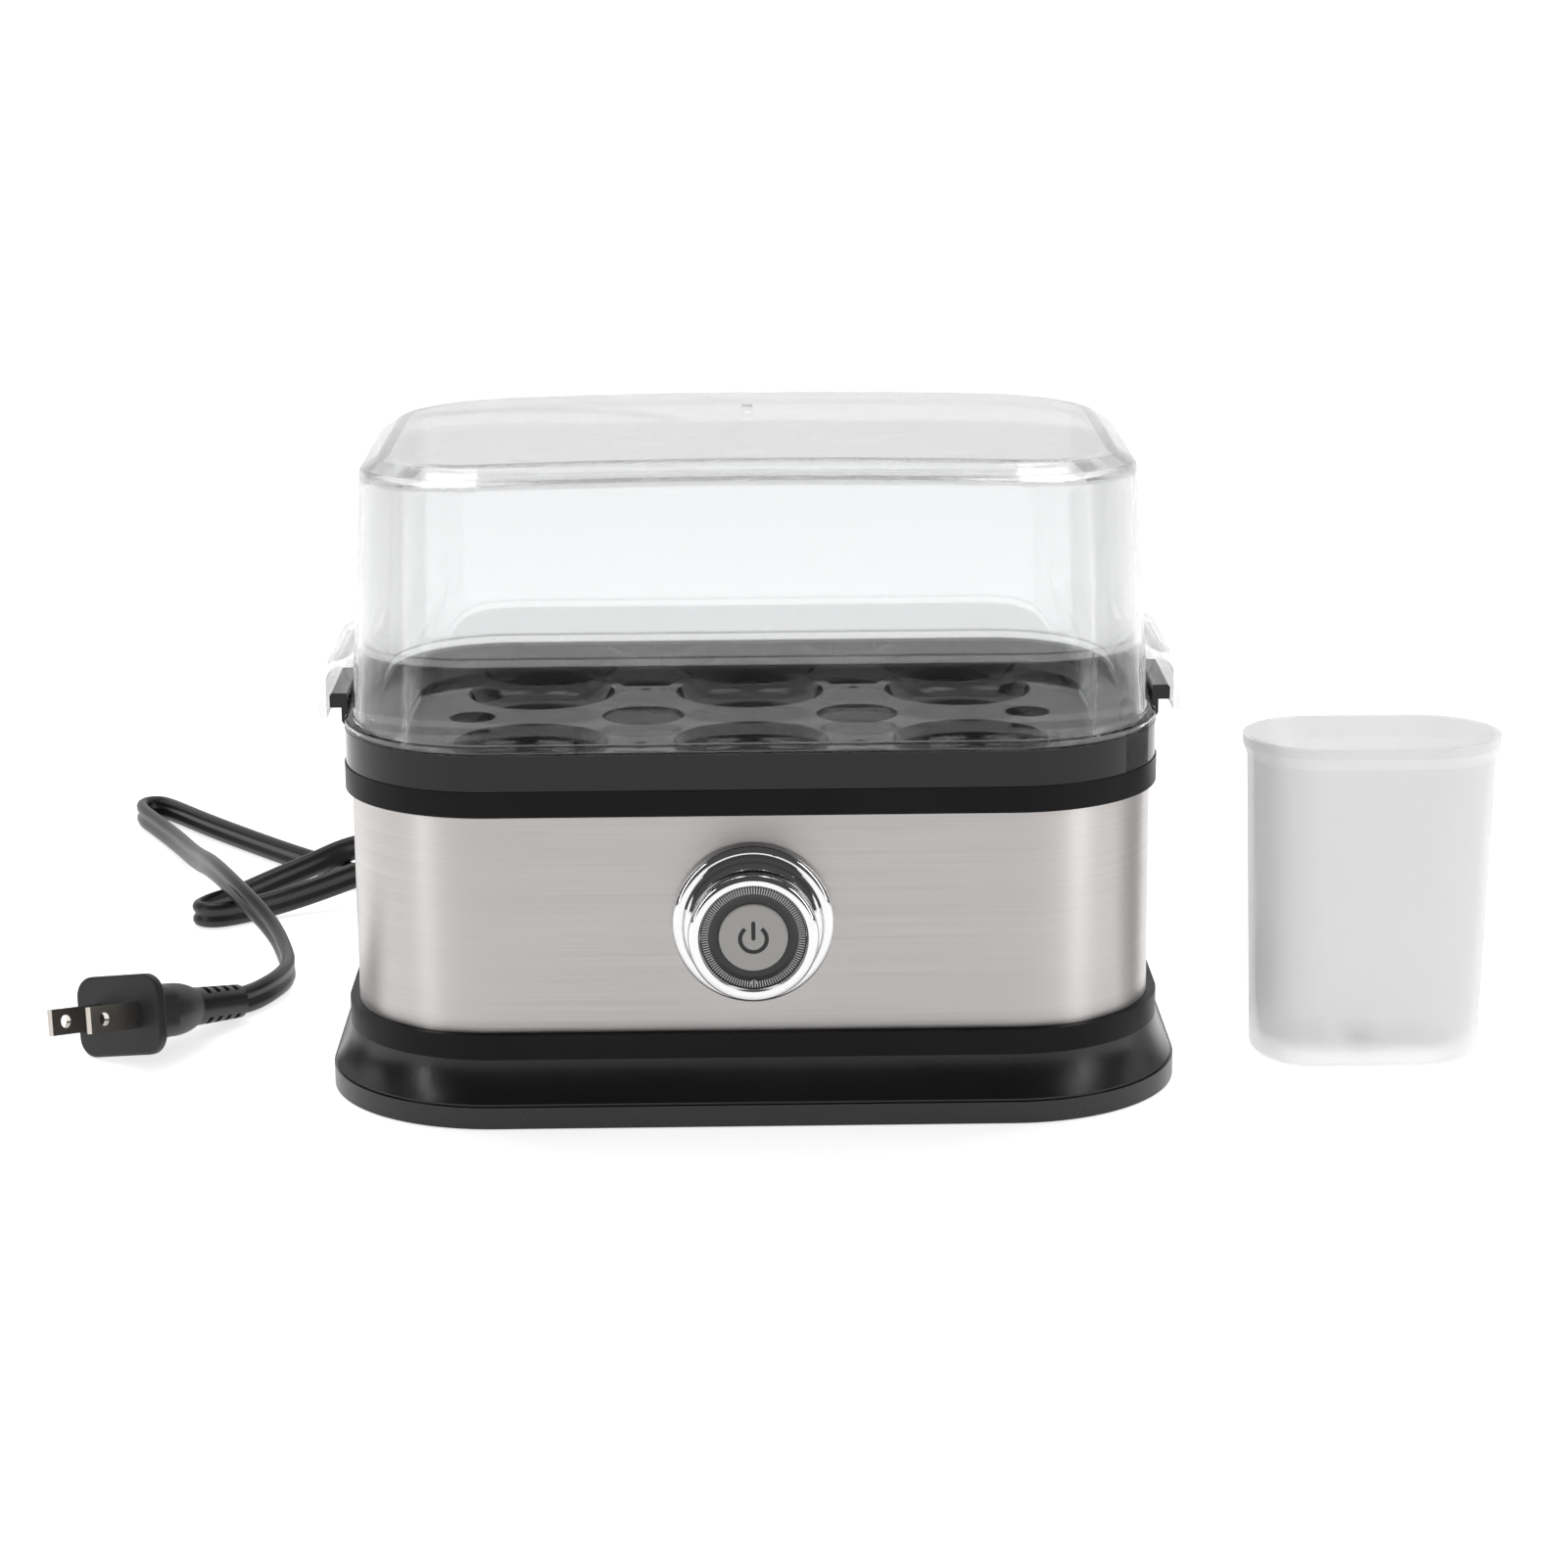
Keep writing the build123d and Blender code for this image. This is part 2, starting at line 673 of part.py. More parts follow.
with BuildPart() as cord_clamp:
    with BuildSketch(Plane.XY.offset(clamp_boss_top)):
        with Locations((cord_x, clamp_y)):
            RectangleRounded(clamp_span + 8, 7, 2)
            with GridLocations(clamp_span, 1, 2, 1):
                Circle(1.4, mode=Mode.SUBTRACT)
    extrude(amount=2)
write(cord_clamp.part, "cord_clamp")

with BuildPart() as clamp_screws:
    with Locations((cord_x, clamp_y, clamp_boss_top + 2)):
        with GridLocations(clamp_span, 1, 2, 1):
            Cylinder(2.6, 1.8, align=standing)
            Cylinder(1.15, 7, align=hanging)
write(clamp_screws.part, "clamp_screws")

with BuildPart() as cord_bushing:
    with BuildSketch(Plane(origin=(cord_x, 0, cord_exit_z), x_dir=(1, 0, 0), z_dir=(0, 0, 1))):
        with BuildLine():
            Polyline(
                (0, bushing_inside),
                (bushing_neck, bushing_inside),
                (bushing_neck, bushing_collar_y),
                (bushing_neck + 1, bushing_collar_y),
                (bushing_neck + 1, bushing_collar_y + 1.6),
                (bushing_neck, bushing_collar_y + 2.4),
                (3.9, bushing_end_y),
                (0, bushing_end_y),
                close=True,
            )
        make_face()
    revolve(axis=Axis((cord_x, 0, cord_exit_z), (0, 1, 0)))
write(cord_bushing.part, "cord_bushing")

wire_radius = 1.2
pin_wire_y = heater_half_y + pin_radius + touch_gap
block_top = floor_top + block_height
switch_wire_y = band_front_y - bracket_back + 6 + 1


def wire(points, bend):
    """Round insulated wire along straight runs joined by arcs."""
    with BuildPart() as lead:
        with BuildLine() as run:
            FilletPolyline(*points, radius=bend)
        with BuildSketch(Plane(origin=run.wire() @ 0, z_dir=run.wire() % 0)):
            Circle(wire_radius)
        sweep(path=run.wire())
    return lead.part


def switch_wire_route(side):
    """From the terminal block along the floor and up to a tab of the switch."""
    start_x = cord_x + 6 * side
    return [
        (start_x, block_y - block_width / 2, 10),
        (start_x, switch_wire_y, 10),
        (4 * side, switch_wire_y, 20),
        (4 * side, switch_wire_y, control_z - 2.4),
    ]


heater_wire_left = wire([
    (cord_x - 6, block_y, block_top),
    (cord_x - 6, block_y, heater_z),
    (cord_x - 6, pin_wire_y, heater_z),
], 4)
heater_wire_right = wire([
    (cord_x + 6, block_y, block_top),
    (cord_x + 6, block_y, block_top + 14),
    (16, block_y, block_top + 24),
    (16, block_y, heater_z),
    (16, pin_wire_y, heater_z),
], 4)
write(heater_wire_left, "heater_wire_left")
write(heater_wire_right, "heater_wire_right")
write(wire(switch_wire_route(-1), 3), "switch_wire_left")
write(wire(switch_wire_route(1), 3), "switch_wire_right")

# ---------------------------------------------------------------- egg tray
tray_wall = 1.8
tray_skirt_wall = 2.0
tray_inner = tray_reach - 4.3
tray_floor_reach = tray_inner - 7.8
tray_floor_z = tray_z + 3.0
margin_top_z = lid_z - 2.6
seat_radius = 18.2
seat_depth = 5.2
seat_flat = 8.0
seat_hole = 5.0
steam_hole = 9.9
end_hole = 5.6
end_hole_offset = 15.5  # beyond the outer egg centres
seat_land = 3.0  # solid web left round each seat
back_hole_edge = tray_floor_reach - 1.0
lug_half = 19.0
lug_root_z = lid_z - 2.3
lug_bar_z = lid_z + 1.7
lug_top = lid_z + 5.2
lug_post_reach = tray_reach + 1.7
lug_reach = tray_reach + 4.4
egg_xs = [egg_pitch_x * (column - (egg_columns - 1) / 2) for column in range(egg_columns)]
egg_ys = [-egg_pitch_y / 2, egg_pitch_y / 2]
web_xs = [(left + right) / 2 for left, right in zip(egg_xs, egg_xs[1:])]

with BuildPart() as egg_tray:
    sweep(
        profile(
            rim_plane,
            (tray_reach, tray_z),
            (tray_reach, lid_z),
            (tray_inner, lid_z),
            (tray_inner, margin_top_z),
            (tray_floor_reach, tray_floor_z),
            (tray_floor_reach, tray_floor_z - tray_wall),
            (tray_inner, margin_top_z - tray_wall),
            (tray_inner + 1.3, margin_top_z - tray_wall + 0.4),
            (tray_inner + 1.3, lid_z - tray_wall),
            (tray_reach - tray_skirt_wall, lid_z - tray_wall),
            (tray_reach - tray_skirt_wall, tray_z),
        ),
        path=rim,
    )
    with BuildSketch(Plane.XY.offset(tray_floor_z)):
        body_outline(tray_floor_reach)
    extrude(amount=-tray_wall)
    # egg seats: bowls sunk below the floor
    with Locations(*[(x, y, tray_floor_z) for x in egg_xs for y in egg_ys]):
        Cylinder(seat_radius + 1.4, tray_wall, align=hanging)
        Cylinder(seat_radius, tray_wall, align=hanging, mode=Mode.SUBTRACT)
    bowl_top = tray_floor_z
    bowl_bottom = tray_floor_z - seat_depth
    for x in egg_xs:
        for y in egg_ys:
            with BuildSketch(Plane(origin=(x, y, 0), x_dir=(1, 0, 0), z_dir=(0, -1, 0))):
                with BuildLine():
                    Line((seat_hole, bowl_bottom), (seat_flat, bowl_bottom))
                    ThreePointArc(
                        (seat_flat, bowl_bottom),
                        (seat_radius - 2.6, bowl_bottom + 0.38 * seat_depth),
                        (seat_radius, bowl_top),
                    )
                    Polyline(
                        (seat_radius, bowl_top),
                        (seat_radius + 1.4, bowl_top),
                        (seat_radius + 1.4, bowl_top - tray_wall),
                    )
                    ThreePointArc(
                        (seat_radius + 1.4, bowl_top - tray_wall),
                        (seat_radius - 1.4, bowl_bottom + 0.38 * seat_depth - tray_wall + 0.3),
                        (seat_flat, bowl_bottom - tray_wall + 0.3),
                    )
                    Polyline(
                        (seat_flat, bowl_bottom - tray_wall + 0.3),
                        (seat_hole, bowl_bottom - tray_wall + 0.3),
                        (seat_hole, bowl_bottom),
                    )
                make_face()
            revolve(axis=Axis((x, y, 0), (0, 0, 1)))
    # steam holes between the seats, at the ends and in the margins
    with BuildSketch(Plane.XY.offset(tray_floor_z)) as holes:
        with Locations(*[(x, 0) for x in web_xs]):
            Circle(steam_hole)
        with Locations((egg_xs[0] - end_hole_offset, 0), (egg_xs[-1] + end_hole_offset, 0)):
            Circle(end_hole)
        with Locations(*[(x, y * 1.1) for x in web_xs for y in egg_ys]):
            Circle(1.3)
    extrude(amount=-tray_wall, mode=Mode.SUBTRACT)
    with BuildSketch(Plane.XY.offset(tray_floor_z)):
        for x in web_xs:
            for side in (-1, 1):
                near, far = 32.0, core_depth / 2 + back_hole_edge
                with Locations((x, side * (near + far) / 2)):
                    Rectangle(28, far - near)
        with Locations(*[(x, y) for x in egg_xs for y in egg_ys]):
            Circle(seat_radius + seat_land, mode=Mode.SUBTRACT)
    extrude(amount=-tray_wall, mode=Mode.SUBTRACT)
    for x_side in (-1, 1):
        for y_side in (-1, 1):
            with BuildSketch(Plane.XY.offset(tray_floor_z)):
                start = {(1, 1): 4, (-1, 1): 140, (-1, -1): 184, (1, -1): 320}[x_side, y_side]
                with BuildLine():
                    CenterArc((x_side * egg_xs[-1], y_side * egg_ys[-1]), seat_radius + 8.5, start, 36)
                trace(line_width=3)
            extrude(amount=-tray_wall, mode=Mode.SUBTRACT)
    # upright ribs on the long inner walls
    rib_y = core_depth / 2 + tray_inner
    for x in (-39.2, 0, 39.2):
        for step in (-1.75, 1.75):
            for side in (-1, 1):
                with Locations((x + step, side * rib_y, margin_top_z)):
                    Box(0.6, 1.0, lid_z - margin_top_z, align=standing)
    # side lugs that the lid's hooks drop over
    for side in (-1, 1):
        root = core_length / 2 + tray_reach - 1.2
        post_inside = core_length / 2 + tray_reach + 0.25
        post_outside = core_length / 2 + lug_post_reach
        tip = core_length / 2 + lug_reach
        with BuildSketch(Plane.XZ.offset(-lug_half)):
            with BuildLine():
                Polyline(
                    (side * root, lug_root_z),
                    (side * (post_outside - 0.5), lug_root_z),
                    (side * post_outside, lug_root_z + 0.8),
                    (side * post_outside, lug_bar_z),
                    (side * (tip - 0.3), lug_bar_z),
                    (side * tip, lug_bar_z + 0.3),
                    (side * tip, lug_top - 0.6),
                    (side * (tip - 0.6), lug_top),
                    (side * post_inside, lug_top),
                    (side * post_inside, lid_z - 0.3),
                    (side * root, lid_z - 0.3),
                    close=True,
                )
            make_face()
        extrude(amount=2 * lug_half)
write(egg_tray.part, "egg_tray")

# ---------------------------------------------------------------- lid
lid_base_reach = tray_reach - 1.8
lid_flange_reach = tray_reach - 0.1
lid_flange = 2.2
crown_radius = 1980.0
shoulder_inset = 5.0
shoulder_drop = 3.0
shoulder_round = 3.0
edge_round = 2.2
vent_radius = 1.5
vent_y = 28.0
hook_wall = 1.8
hook_reach = lug_reach + hinge_gap + hook_wall
hook_half = 23.0
hook_shoulder = 8.4  # heights above the lid's lower edge
hook_ceiling = 12.3
hook_crest = 13.8
hook_root = 19.0


def lid_form(inset, start):
    """Solid bell of the lid with all faces moved inward by inset, from the height start up."""
    top = lid_z + lid_height - inset
    reach = lid_base_reach - lid_draft * (start - lid_z) - inset
    half = core_length / 2 + base_corner
    sag = half**2 / (2 * crown_radius)
    with BuildPart() as bell:
        with BuildSketch(Plane.XY.offset(start)):
            body_outline(reach)
        extrude(amount=top + sag - start, taper=degrees(atan(lid_draft)))
        with BuildSketch(Plane.XZ):
            with BuildLine():
                ThreePointArc((-half, top - sag), (0, top), (half, top - sag))
                Polyline((half, top - sag), (half, start - 1), (-half, start - 1), (-half, top - sag))
            make_face()
        extrude(amount=core_depth / 2 + base_corner, both=True, mode=Mode.INTERSECT)
        crown = bell.faces().sort_by(Axis.Z)[-1]
        chamfer(crown.edges(), length=shoulder_inset, length2=shoulder_drop, reference=crown)
        crown = bell.faces().sort_by(Axis.Z)[-1]
        fillet(crown.edges(), shoulder_round - inset / 2)
        shoulder_edges = bell.edges().filter_by(
            lambda edge: abs(edge.center().Z - top + shoulder_drop) < 1.6 and edge.bounding_box().size.Z < 3.5
        )
        fillet(shoulder_edges, edge_round - inset / 2)
    return bell.part


with BuildPart() as lid:
    add(lid_form(0, lid_z))
    add(lid_form(lid_wall, lid_z - 1), mode=Mode.SUBTRACT)
    sweep(
        profile(
            rim_plane,
            (lid_base_reach - 1, lid_z),
            (lid_flange_reach, lid_z),
            (lid_flange_reach, lid_z + lid_flange - 0.4),
            (lid_flange_reach - 0.4, lid_z + lid_flange),
            (lid_base_reach - 1, lid_z + lid_flange),
        ),
        path=rim,
    )
    for side in (-1, 1):
        wall_x = core_length / 2 + lid_base_reach - 1.9
        outer_x = core_length / 2 + hook_reach
        inner_x = outer_x - hook_wall
        with BuildSketch(Plane.XZ.offset(-hook_half)):
            with BuildLine():
                Line((side * inner_x, lid_z), (side * outer_x, lid_z))
                Line((side * outer_x, lid_z), (side * outer_x, lid_z + hook_shoulder))
                ThreePointArc(
                    (side * outer_x, lid_z + hook_shoulder),
                    (side * (outer_x - 1.1), lid_z + hook_shoulder + 3.4),
                    (side * (outer_x - 3.8), lid_z + hook_crest),
                )
                ThreePointArc(
                    (side * (outer_x - 3.8), lid_z + hook_crest),
                    (side * (wall_x + 2.2), lid_z + hook_crest + 1.7),
                    (side * wall_x, lid_z + hook_root),
                )
                Line((side * wall_x, lid_z + hook_root), (side * wall_x, lid_z + hook_ceiling))
                Line((side * wall_x, lid_z + hook_ceiling), (side * (inner_x - 3.0), lid_z + hook_ceiling))
                ThreePointArc(
                    (side * (inner_x - 3.0), lid_z + hook_ceiling),
                    (side * (inner_x - 0.9), lid_z + hook_ceiling - 1.0),
                    (side * inner_x, lid_z + hook_ceiling - 3.2),
                )
                Line((side * inner_x, lid_z + hook_ceiling - 3.2), (side * inner_x, lid_z))
            make_face()
        extrude(amount=2 * hook_half)
    with Locations((0, vent_y, lid_z + lid_height)):
        Cylinder(vent_radius, 4 * lid_wall, mode=Mode.SUBTRACT)
write(lid.part, "lid")

# ---------------------------------------------------------------- measuring cup
# Oval in plan: its reach is measured from the line that joins its two end centres.
cup_x, cup_y = core_length / 2 + base_corner + 47.4, -17.5
cup_core = 24.3
cup_bottom_reach = 15.3
cup_top_reach = 17.3
cup_rim_reach = 18.4
cup_flare_z = cup_height - 5.0
cup_rim_z = cup_height - 2.2
cup_edge = 4.0
cup_inner_edge = 2.4
cup_recess = 3.2  # the underside stands on a foot ring
cup_recess_reach = 9.8
cup_floor = cup_recess + cup_wall
pin_height = 2.8
cup_plane = Plane(origin=(cup_x, cup_y, 0), x_dir=(1, 0, 0), z_dir=(0, -1, 0))
cup_axis = Axis((cup_x, cup_y, 0), (0, 0, 1))


def cup_outline(reach, height):
    """The cup's outline at a height."""
    with BuildSketch(Plane.XY.offset(height)) as level:
        with Locations((cup_x, cup_y)):
            SlotCenterToCenter(cup_core, 2 * reach)
    return level.sketch.face()


with BuildPart() as measuring_cup:
    loft([cup_outline(cup_bottom_reach, 0), cup_outline(cup_top_reach, cup_flare_z)], ruled=True)
    fillet(measuring_cup.edges().group_by(Axis.Z)[0], cup_edge)
    loft([cup_outline(cup_top_reach, cup_flare_z), cup_outline(cup_rim_reach, cup_rim_z)], ruled=True)
    extrude(cup_outline(cup_rim_reach, cup_rim_z), amount=cup_height - cup_rim_z)
    loft(
        [
            cup_outline(cup_bottom_reach - cup_wall, cup_floor),
            cup_outline(cup_top_reach - cup_wall, cup_flare_z),
        ],
        ruled=True,
        mode=Mode.SUBTRACT,
    )
    floor_edges = measuring_cup.edges().filter_by_position(Axis.Z, cup_floor - 0.01, cup_floor + 0.01)
    fillet(floor_edges, cup_inner_edge)
    loft(
        [
            cup_outline(cup_top_reach - cup_wall, cup_flare_z),
            cup_outline(cup_rim_reach - cup_wall, cup_height),
        ],
        ruled=True,
        mode=Mode.SUBTRACT,
    )
    extrude(cup_outline(cup_recess_reach, 0), amount=cup_recess, mode=Mode.SUBTRACT)
write(measuring_cup.part, "measuring_cup")

with BuildPart() as piercing_pin:
    revolve(
        profile(
            cup_plane,
            (0, cup_recess),
            (4, cup_recess),
            (4, cup_recess - 0.6),
            (0.5, cup_recess - 0.6),
            (0.5, cup_recess - pin_height + 1.2),
            (0, cup_recess - pin_height),
        ),
        axis=cup_axis,
    )
write(piercing_pin.part, "piercing_pin")

# ---------------------------------------------------------------- plug
plug_face = (-153.5, -14.5, 11.45)
plug_turn = 35.0  # heading of the plug's back end, from +Y towards +X
plug_dip = 10.0
plug_roll = 12.0
plug_plate_width, plug_plate_height, plug_plate = 27.0, 19.6, 2.6
plug_plate_corner = 5.0
plug_block = 9.0
plug_grip = 13.0
relief_length = 17.4
blade_length, blade_width, blade_thickness = 16.5, 6.35, 1.5
blade_spacing = 12.7
blade_seat = 6.0  # blade inside the plug
blade_hole = 4.5  # from the tip
blade_hole_radius = 1.6

heading = Vector(
    sin(radians(plug_turn)) * cos(radians(plug_dip)),
    cos(radians(plug_turn)) * cos(radians(plug_dip)),
    -sin(radians(plug_dip)),
)
level = heading.cross(Vector(0, 0, 1)).normalized()
across = level.rotate(Axis((0, 0, 0), heading), -plug_roll)
face_plane = Plane(origin=plug_face, x_dir=across, z_dir=heading)


def plug_section(width, height, corner, back):
    """Rounded cross-section of the plug, at a distance behind its face."""
    with BuildSketch(face_plane.offset(back)) as section:
        RectangleRounded(width, height, corner)
    return section.sketch


grip_start = plug_plate + plug_block
relief_start = grip_start + plug_grip
relief_end = relief_start + relief_length

with BuildPart() as plug_body:
    extrude(plug_section(plug_plate_width, plug_plate_height, plug_plate_corner, 0), amount=plug_plate)
    fillet(plug_body.edges().filter_by(lambda edge: edge.length > 4), 0.7)
    loft([
        plug_section(20.5, 13.6, 3.5, plug_plate - 0.2).face(),
        plug_section(18.6, 12.6, 3.5, grip_start).face(),
    ])
    loft([
        plug_section(17.4, 12.2, 5.5, grip_start).face(),
        plug_section(16.0, 13.0, 6.0, grip_start + 0.45 * plug_grip).face(),
        plug_section(11.0, 10.0, 4.6, relief_start).face(),
    ])
    for side in (-1, 1):
        with BuildSketch(face_plane):
            with Locations((side * blade_spacing / 2, 0)):
                Rectangle(blade_thickness, blade_width)
        extrude(amount=blade_seat, mode=Mode.SUBTRACT)
write(plug_body.part, "plug_body")

with BuildPart() as plug_relief:
    loft([
        plug_section(10.6, 9.6, 4.2, relief_start).face(),
        plug_section(8.6, 8.4, 3.6, relief_end).face(),
    ])
    for slot in range(4):
        for side in (-1, 1):
            with BuildSketch(face_plane.offset(relief_start + 3.0 + 3.6 * slot)):
                with Locations((0, side * 4.6)):
                    Rectangle(12, 3.2)
            extrude(amount=1.6, mode=Mode.SUBTRACT)
write(plug_relief.part, "plug_relief")

for side, blade_name in ((-1, "plug_blade_left"), (1, "plug_blade_right")):
    with BuildPart() as plug_blade:
        with BuildSketch(face_plane.offset(blade_seat)):
            with Locations((side * blade_spacing / 2, 0)):
                Rectangle(blade_thickness, blade_width)
        extrude(amount=-(blade_length + blade_seat))
        hole_plane = Plane(
            origin=face_plane.from_local_coords((side * blade_spacing / 2, 0, blade_hole - blade_length)),
            x_dir=face_plane.z_dir,
            z_dir=face_plane.x_dir,
        )
        with Locations(hole_plane):
            Cylinder(blade_hole_radius, 3 * blade_thickness, mode=Mode.SUBTRACT)
    write(plug_blade.part, blade_name)

# ---------------------------------------------------------------- power cord
# The route's points are chosen by hand: out of the bushing, round behind the cooker, out at
# the left to a tight fold, back behind the cooker in a small loop, out to a second tight
# fold and forward over the first one to the plug.
cord_start = (cord_x, bushing_end_y, cord_exit_z)
cord_end = tuple(face_plane.from_local_coords((0, 0, relief_end)))
cord_route = [
    cord_start,
    (-10, 92, cord_exit_z),
    (-10, 104, 5.0),
    (-11, 117, 3.5),
    (-14.5, 132, 3.5),
    (-24, 147, 3.5),
    (-41, 157, 3.5),
    (-61, 160, 3.5),
    (-79, 157, 7.5),
    (-95, 150, 11.2),
    (-112, 142, 10.9),
    (-124, 134, 7.2),
    (-134, 125.5, 5.0),
    (-142, 116, 3.5),
    (-148.5, 108, 3.5),
    (-151, 101.5, 3.5),
    (-146, 98.5, 3.5),
    (-138.5, 102.5, 3.5),
    (-128, 111, 4.0),
    (-116, 115.5, 7.0),
    (-103, 119, 11.2),
    (-89, 126, 11.2),
    (-72, 134, 6.0),
    (-54, 137, 3.5),
    (-38, 130, 3.5),
    (-34, 114, 3.5),
    (-46, 101, 3.5),
    (-64, 98, 3.5),
    (-82, 106, 3.5),
    (-97, 121, 3.5),
    (-111, 138, 3.5),
    (-128, 155.5, 3.5),
    (-145, 176, 3.5),
    (-160, 195, 3.5),
    (-170, 209, 3.5),
    (-177, 217.5, 3.5),
    (-182.5, 215, 3.5),
    (-181, 207, 3.5),
    (-175.5, 196, 3.5),
    (-166, 176, 3.5),
    (-157, 150, 5.5),
    (-149, 122, 11.3),
    (-138, 95, 11.3),
    (-127, 78, 6.0),
    (-121.5, 60, 3.5),
    (-119.2, 46, 3.6),
    (-121.4, 34, 3.7),
    tuple(face_plane.from_local_coords((0, 0, relief_end + 5))),
    cord_end,
]


def bend_radii(route, share=0.45):
    """The radius of each corner: as large as its two runs allow."""
    points = [Vector(*point) for point in route]
    radii = []
    for before, here, after in zip(points, points[1:], points[2:]):
        turn = (here - before).get_angle(after - here)
        shorter = min((here - before).length, (after - here).length)
        radii.append(share * shorter / tan(radians(turn) / 2))
    return radii


radii = bend_radii(cord_route)
print("cord bend radii, mm:", [round(radius, 1) for radius in radii])
with BuildPart() as power_cord:
    with BuildLine() as route_line:
        FilletPolyline(*cord_route, radius=radii)
    with BuildSketch(Plane(origin=cord_start, z_dir=route_line.wire() % 0)):
        Circle(lead_radius)
    sweep(path=route_line.wire())
cord_length = route_line.wire().length
print("cord length, mm:", round(cord_length, 1))
print("tube volume over section times length:", round(power_cord.part.volume / (pi * lead_radius**2 * cord_length), 4))
write(power_cord.part, "power_cord")
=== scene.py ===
import json
import math

import bpy
from mathutils import Matrix, Vector


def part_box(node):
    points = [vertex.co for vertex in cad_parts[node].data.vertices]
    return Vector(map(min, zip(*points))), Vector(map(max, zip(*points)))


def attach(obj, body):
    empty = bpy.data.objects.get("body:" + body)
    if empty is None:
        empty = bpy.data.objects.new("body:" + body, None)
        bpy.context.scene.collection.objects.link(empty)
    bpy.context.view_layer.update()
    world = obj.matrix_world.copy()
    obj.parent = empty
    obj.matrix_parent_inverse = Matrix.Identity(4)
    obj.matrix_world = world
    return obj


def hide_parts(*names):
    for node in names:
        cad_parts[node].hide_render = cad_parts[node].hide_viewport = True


# Egg cooker: the looks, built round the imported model. Metres, in the row's frame.

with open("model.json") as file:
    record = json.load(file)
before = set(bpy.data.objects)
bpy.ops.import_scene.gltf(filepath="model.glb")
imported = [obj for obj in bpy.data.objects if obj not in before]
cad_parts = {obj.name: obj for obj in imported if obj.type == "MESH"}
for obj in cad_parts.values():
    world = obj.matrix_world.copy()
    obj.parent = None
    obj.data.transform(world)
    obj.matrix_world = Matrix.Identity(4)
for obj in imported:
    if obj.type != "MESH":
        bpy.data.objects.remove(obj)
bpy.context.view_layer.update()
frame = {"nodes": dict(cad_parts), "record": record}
NODES = frame["nodes"]
MM = 0.001

# ---------------------------------------------------------------- sizes taken from the frame
knob_low, knob_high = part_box("knob_bezel")
CONTROL_Z = (knob_low.z + knob_high.z) / 2


# ---------------------------------------------------------------- materials
def material(name, color, roughness=0.5, metallic=0.0, **sockets):
    """A Principled material; sockets are further inputs by their names with _ for spaces."""
    made = bpy.data.materials.new(name)
    made.use_nodes = True
    shader = made.node_tree.nodes["Principled BSDF"]
    shader.inputs["Base Color"].default_value = (*color, 1)
    shader.inputs["Roughness"].default_value = roughness
    shader.inputs["Metallic"].default_value = metallic
    for key, value in sockets.items():
        shader.inputs[key.replace("_", " ")].default_value = value
    return made


def add_node(made, kind, **values):
    node = made.node_tree.nodes.new(kind)
    for key, value in values.items():
        setattr(node, key, value)
    return node


def join(made, out, into):
    made.node_tree.links.new(out, into)


def noise(made, scale, stretch=(1, 1, 1), detail=2.0, roughness=0.5):
    """Noise in object coordinates, stretched per axis; returns its factor socket."""
    place = add_node(made, "ShaderNodeTexCoord")
    mapping = add_node(made, "ShaderNodeMapping")
    mapping.inputs["Scale"].default_value = stretch
    texture = add_node(made, "ShaderNodeTexNoise")
    texture.inputs["Scale"].default_value = scale
    texture.inputs["Detail"].default_value = detail
    texture.inputs["Roughness"].default_value = roughness
    join(made, place.outputs["Object"], mapping.inputs["Vector"])
    join(made, mapping.outputs["Vector"], texture.inputs["Vector"])
    return texture.outputs["Fac"]


def ramp(made, factor, low, high, start=0.3, stop=0.7):
    """Spreads a factor between two grey levels or colours."""
    node = add_node(made, "ShaderNodeValToRGB")
    node.color_ramp.elements[0].position = start
    node.color_ramp.elements[1].position = stop
    node.color_ramp.elements[0].color = low if isinstance(low, tuple) else (low, low, low, 1)
    node.color_ramp.elements[1].color = high if isinstance(high, tuple) else (high, high, high, 1)
    join(made, factor, node.inputs["Fac"])
    return node.outputs["Color"]


def bump(made, factor, distance, strength=1.0):
    node = add_node(made, "ShaderNodeBump")
    node.inputs["Distance"].default_value = distance
    node.inputs["Strength"].default_value = strength
    join(made, factor, node.inputs["Height"])
    join(made, node.outputs["Normal"], made.node_tree.nodes["Principled BSDF"].inputs["Normal"])


def grained(made, scale, distance, low, high):
    """Fine moulded grain with a slightly uneven gloss."""
    grain = noise(made, scale, detail=3.0)
    bump(made, grain, distance)
    shader = made.node_tree.nodes["Principled BSDF"]
    join(made, ramp(made, noise(made, 60.0), low, high), shader.inputs["Roughness"])
    return made


def brushed(name, color_low, color_high, rough_low, rough_high, strokes):
    """Metal brushed along the wall: noise that is long across and fine upwards."""
    made = material(name, color_high[:3], 0.3, 1.0, Anisotropic=0.7, Anisotropic_Rotation=0.25)
    shader = made.node_tree.nodes["Principled BSDF"]
    fine = noise(made, 1.0, strokes, detail=3.0, roughness=0.6)
    join(made, ramp(made, fine, color_low, color_high), shader.inputs["Base Color"])
    join(made, ramp(made, fine, rough_high, rough_low), shader.inputs["Roughness"])
    tangent = add_node(made, "ShaderNodeTangent", direction_type="RADIAL", axis="Z")
    join(made, tangent.outputs["Tangent"], shader.inputs["Tangent"])
    bump(made, fine, 0.006 * MM, 0.4)
    return made


